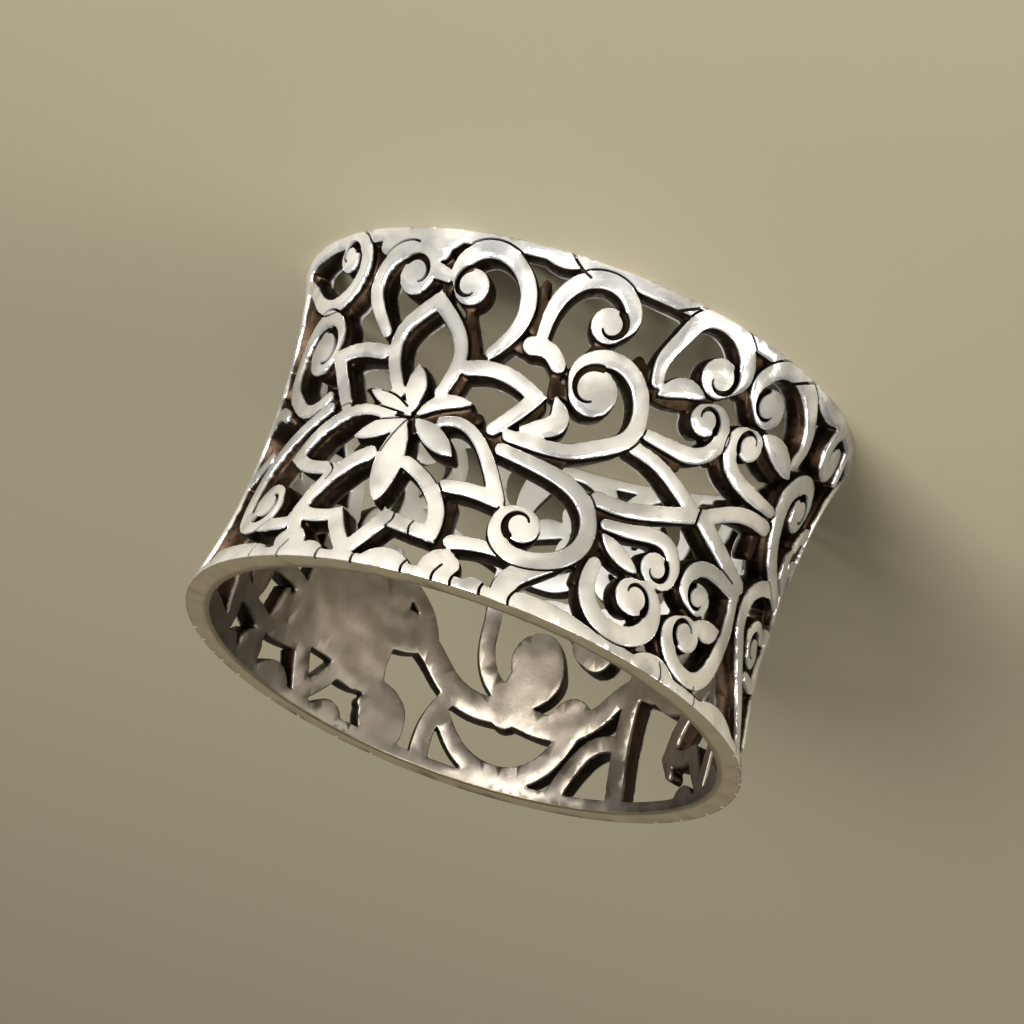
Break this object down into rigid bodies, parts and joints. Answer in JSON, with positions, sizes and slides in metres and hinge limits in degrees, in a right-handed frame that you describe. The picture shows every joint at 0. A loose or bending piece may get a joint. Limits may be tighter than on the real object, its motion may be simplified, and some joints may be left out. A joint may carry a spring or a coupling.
{
  "type": "openwork ring",
  "caption": "Wide waisted finger ring of cast silver, pierced and raised with flowers, scrolls and leaves between two plain rims.",
  "frame": {"origin": "middle of the far rim's flat end face, which the ring lies on", "axes": "+Z along the ring's axis, up from the face it lies on; -Y towards the flower and scrolls that the picture shows in front"},
  "size_m": [0.0205, 0.0204, 0.0128],
  "materials": {
    "silver": "polished silver with dark recesses"
  },
  "bodies": {
    "root": {"openwork_band": "silver"}
  },
  "joints": []
}
